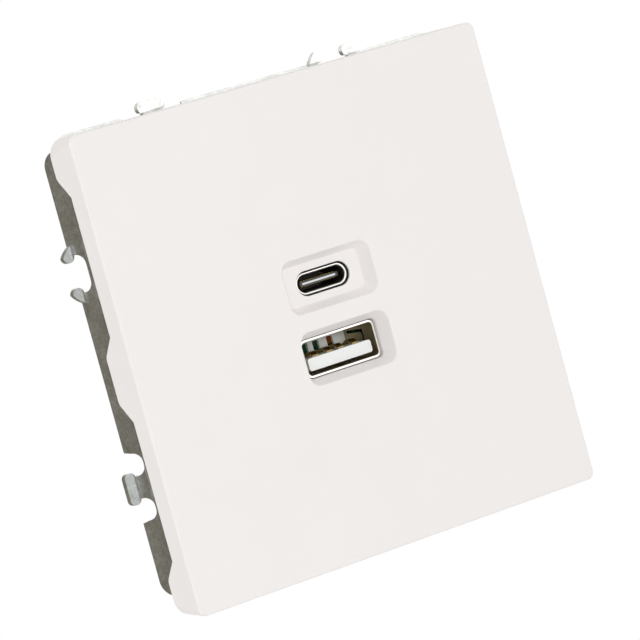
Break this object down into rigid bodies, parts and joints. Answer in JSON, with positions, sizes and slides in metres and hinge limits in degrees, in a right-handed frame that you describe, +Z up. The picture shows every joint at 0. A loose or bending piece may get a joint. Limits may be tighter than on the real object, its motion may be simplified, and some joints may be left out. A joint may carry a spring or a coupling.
{
  "type": "usb wall socket",
  "caption": "Flush wall socket with a square white push-fit cover, a stamped steel bracket with linking tabs and a charger module behind stacked USB-C and USB-A ports.",
  "frame": {"origin": "centre of the box-screw pattern, on the back face of the bracket's plate", "axes": "+X right, +Y into the wall, +Z up, as the socket is seen from the room"},
  "size_m": [0.0732, 0.0305, 0.0733],
  "materials": {
    "cover_plastic": "satin warm white",
    "galvanised_steel": "galvanised, dull spangle",
    "housing_plastic": "fine grain, graphite",
    "plated_screw": "zinc plated",
    "board_laminate": "green lacquer",
    "nickel_shell": "nickel plated",
    "white_insulator": "satin",
    "grey_insulator": "satin",
    "gold_contact": "gold flash",
    "terminal_brass": "drawn",
    "zinc_steel": "zinc plated",
    "ferrite": "pressed and fired",
    "bobbin_plastic": "matt",
    "winding_tape": "taped",
    "capacitor_sleeve": "shrink sleeve",
    "bare_can": "drawn",
    "fuse_plastic": "satin",
    "film_capacitor": "moulded",
    "chip_epoxy": "moulded",
    "port_bead": "moulded"
  },
  "bodies": {
    "socket": {"front_cover": "cover_plastic", "support_bracket": "galvanised_steel", "module_housing": "housing_plastic", "rear_lid": "housing_plastic", "lid_screws": "plated_screw", "module_screws": "plated_screw", "main_board": "board_laminate", "usb_a_shell": "nickel_shell", "usb_a_insulator": "white_insulator", "usb_a_contacts": "gold_contact", "usb_c_shell": "nickel_shell", "usb_c_insulator": "grey_insulator", "usb_c_contacts": "gold_contact", "line_terminal_bar": "terminal_brass", "neutral_terminal_bar": "terminal_brass", "transformer_core": "ferrite", "transformer_bobbin": "bobbin_plastic", "transformer_winding": "winding_tape", "input_capacitors": "capacitor_sleeve", "output_capacitors": "bare_can", "fuse": "fuse_plastic", "safety_capacitor": "film_capacitor", "filter_choke": "ferrite", "controller_chips": "chip_epoxy", "bridge_rectifier": "chip_epoxy", "port_capacitor": "port_bead"},
    "line_screw": {"line_screw": "plated_screw"},
    "neutral_screw": {"neutral_screw": "plated_screw"},
    "line_clamp": {"line_clamp": "zinc_steel"},
    "neutral_clamp": {"neutral_clamp": "zinc_steel"}
  },
  "joints": [
    {"name": "line_screw_turn", "type": "hinge", "parent": "socket", "child": "line_screw", "pos_m": [-0.0076, 0.0232, -0.0135], "axis": [0, -1, 0], "range_deg": [0, 2016]},
    {"name": "line_clamp_rise", "type": "slide", "parent": "socket", "child": "line_clamp", "axis": [0, 1, 0], "range_m": [0, 0.0028]},
    {"name": "neutral_screw_turn", "type": "hinge", "parent": "socket", "child": "neutral_screw", "pos_m": [0.0076, 0.0232, -0.0135], "axis": [0, -1, 0], "range_deg": [0, 2016]},
    {"name": "neutral_clamp_rise", "type": "slide", "parent": "socket", "child": "neutral_clamp", "axis": [0, 1, 0], "range_m": [0, 0.0028]}
  ],
  "couplings": [
    {"joint": "line_screw_turn", "follows": "line_clamp_rise", "rad_per_m": 12566},
    {"joint": "neutral_screw_turn", "follows": "neutral_clamp_rise", "rad_per_m": 12566}
  ]
}
